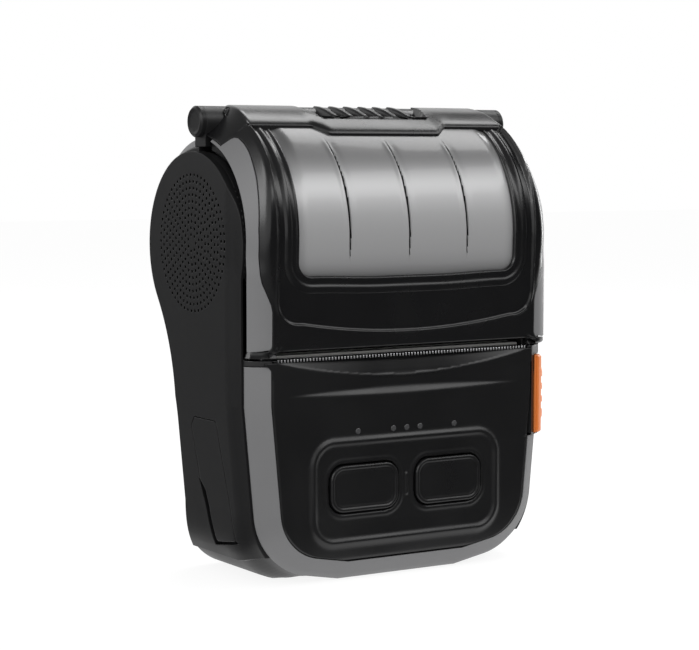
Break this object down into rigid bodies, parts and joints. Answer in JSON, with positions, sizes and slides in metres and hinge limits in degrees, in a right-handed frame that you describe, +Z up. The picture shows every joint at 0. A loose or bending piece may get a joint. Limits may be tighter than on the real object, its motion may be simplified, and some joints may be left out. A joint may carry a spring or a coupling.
{
  "type": "mobile receipt printer",
  "caption": "Handheld thermal receipt printer with a hinged lid and window, grey bumpers, two keys, a side flap over the sockets and an orange lid release.",
  "frame": {"origin": "middle of the printer's box at the height of its flat foot", "axes": "+X to the viewer's right across the width, +Y from the front with the keys to the back, +Z up from the foot to the lid's hinge"},
  "size_m": [0.104, 0.0633, 0.1331],
  "materials": {
    "shell": "fine texture",
    "front": "satin",
    "bumper": "soft touch",
    "side": "fine texture",
    "window": "smoked, glossy",
    "bezel": "gloss",
    "inner": "plain",
    "steel": "drawn",
    "caps": "satin",
    "platen": "ground",
    "gears": "plain",
    "brass": "turned",
    "can": "drawn",
    "ceramic": "glazed",
    "aluminium": "plain",
    "orange": "satin",
    "keys": "satin",
    "switch": "plain",
    "lens": "diffused",
    "board": "solder mask",
    "flap": "satin",
    "battery": "fine texture",
    "screws": "zinc plated"
  },
  "bodies": {
    "body": {"rear_housing": "shell", "front_cover": "front", "lower_bumper": "bumper", "left_side_cover": "side", "right_side_cover": "side", "rear_bumper_left": "bumper", "rear_bumper_right": "bumper", "hinge_pin": "steel", "hinge_caps": "caps", "lid_spring": "steel", "stepper_motor": "can", "paper_tray": "inner", "tear_bar": "steel", "thermal_head": "ceramic", "head_heatsink": "aluminium", "head_springs": "steel", "key_switches": "switch", "indicator_lights": "lens", "main_board": "board", "io_board": "board", "usb_socket": "steel", "dc_jack": "switch", "battery_contacts": "brass", "paper_sensor": "switch", "case_screws": "screws"},
    "lid": {"lid_frame": "front", "lid_window": "window", "window_bezel": "bezel", "upper_bumper_left": "bumper", "upper_bumper_right": "bumper", "lid_liner": "inner", "platen_bushes": "gears"},
    "platen": {"platen_roller": "platen", "platen_shaft": "steel", "platen_gear": "gears"},
    "idler": {"idler_gear": "gears"},
    "pinion": {"motor_pinion": "brass"},
    "latch": {"latch_bar": "steel"},
    "release": {"release_button": "orange"},
    "power": {"power_key": "keys"},
    "feed": {"feed_key": "keys"},
    "battery": {"battery_pack": "battery"},
    "battery_catch": {"battery_latch": "keys"},
    "port_flap": {"port_cover": "flap"}
  },
  "joints": [
    {"name": "lid_hinge", "type": "hinge", "parent": "body", "child": "lid", "pos_m": [0, -0.0003, 0.1283], "axis": [-1, 0, 0], "range_deg": [0, 110]},
    {"name": "platen_spin", "type": "hinge", "parent": "lid", "child": "platen", "pos_m": [0, -0.0223, 0.0698], "axis": [1, 0, 0], "continuous": true},
    {"name": "idler_spin", "type": "hinge", "parent": "body", "child": "idler", "pos_m": [0, -0.01051, 0.06537], "axis": [1, 0, 0], "continuous": true},
    {"name": "motor_spin", "type": "hinge", "parent": "body", "child": "pinion", "pos_m": [0, -0.00809, 0.05351], "axis": [1, 0, 0], "continuous": true},
    {"name": "release_press", "type": "slide", "parent": "body", "child": "release", "axis": [-0.7071, 0.7071, 0], "range_m": [0, 0.002], "stiffness_N_per_m": 600, "springref_m": -0.0005},
    {"name": "latch_turn", "type": "hinge", "parent": "body", "child": "latch", "pos_m": [0, -0.00591, 0.06617], "axis": [1, 0, 0], "range_deg": [0, 6.2]},
    {"name": "power_press", "type": "slide", "parent": "body", "child": "power", "axis": [0, 1, 0], "range_m": [0, 0.0006], "stiffness_N_per_m": 1500, "springref_m": -0.0002},
    {"name": "feed_press", "type": "slide", "parent": "body", "child": "feed", "axis": [0, 1, 0], "range_m": [0, 0.0006], "stiffness_N_per_m": 1500, "springref_m": -0.0002},
    {"name": "battery_slide", "type": "slide", "parent": "body", "child": "battery", "axis": [0, 1, 0], "range_m": [0, 0.03]},
    {"name": "battery_catch_slide", "type": "slide", "parent": "body", "child": "battery_catch", "axis": [0, 0, 1], "range_m": [0, 0.003]},
    {"name": "port_flap_hinge", "type": "hinge", "parent": "body", "child": "port_flap", "pos_m": [-0.0519, -0.005, 0.0454], "axis": [0, 1, 0], "range_deg": [0, 100]}
  ],
  "couplings": [
    {"joint": "idler_spin", "follows": "platen_spin", "ratio": -0.38889},
    {"joint": "motor_spin", "follows": "platen_spin", "ratio": 1.1667},
    {"joint": "latch_turn", "follows": "release_press", "rad_per_m": 52}
  ]
}
